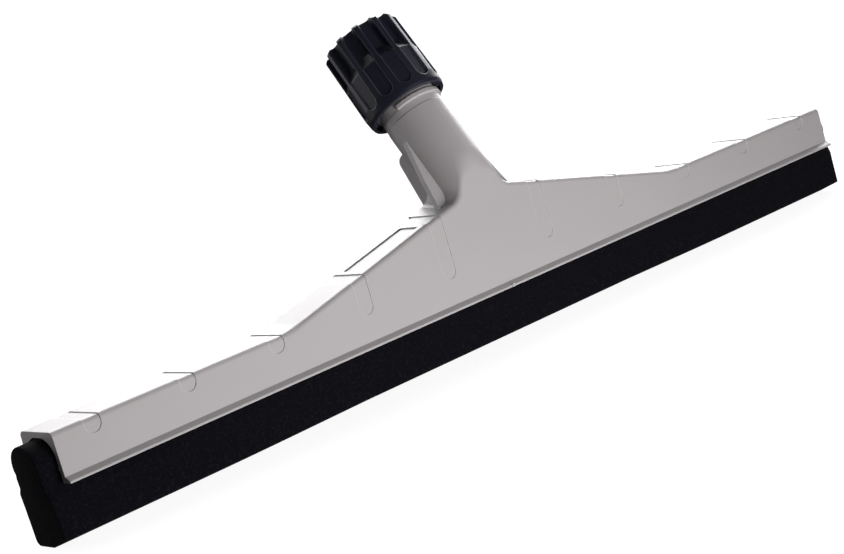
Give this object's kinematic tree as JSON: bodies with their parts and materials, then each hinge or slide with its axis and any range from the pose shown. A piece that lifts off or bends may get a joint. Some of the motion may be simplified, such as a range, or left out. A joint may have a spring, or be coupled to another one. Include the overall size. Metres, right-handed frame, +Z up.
{
  "type": "floor squeegee head",
  "caption": "Floor squeegee head: a grey moulded channel with a leaning handle neck, a black ribbed locking collar and a black double-leaf foam blade.",
  "frame": {"origin": "middle of the foam blade's working edge, where it meets the floor", "axes": "X along the blade, -Y towards the front that faces the water, +Z up; the neck leans back towards +Y"},
  "size_m": [0.5514, 0.0853, 0.1717],
  "materials": {
    "grey_frame": "satin",
    "black_collar": "satin",
    "natural_collet": "satin",
    "black_foam": "matte",
    "grey_strip": "matte"
  },
  "bodies": {
    "frame": {"channel_frame": "grey_frame"},
    "blade": {"foam_blade": "black_foam", "blade_core_strip": "grey_strip"},
    "collet": {"grip_collet": "natural_collet"},
    "collar": {"locking_collar": "black_collar"}
  },
  "joints": [
    {"name": "blade_slide", "type": "slide", "parent": "frame", "child": "blade", "axis": [1, 0, 0], "range_m": [0, 0.56]},
    {"name": "collet_slide", "type": "slide", "parent": "frame", "child": "collet", "axis": [0, 0.5299, 0.848], "range_m": [-0.003, 0.012]},
    {"name": "collar_turn", "type": "hinge", "parent": "collet", "child": "collar", "pos_m": [0, 0, 0.08046], "axis": [0, 0.5299, 0.848], "range_deg": [-270, 1080]}
  ],
  "couplings": [
    {"joint": "collet_slide", "follows": "collar_turn", "m_per_rad": 0.00063662}
  ]
}
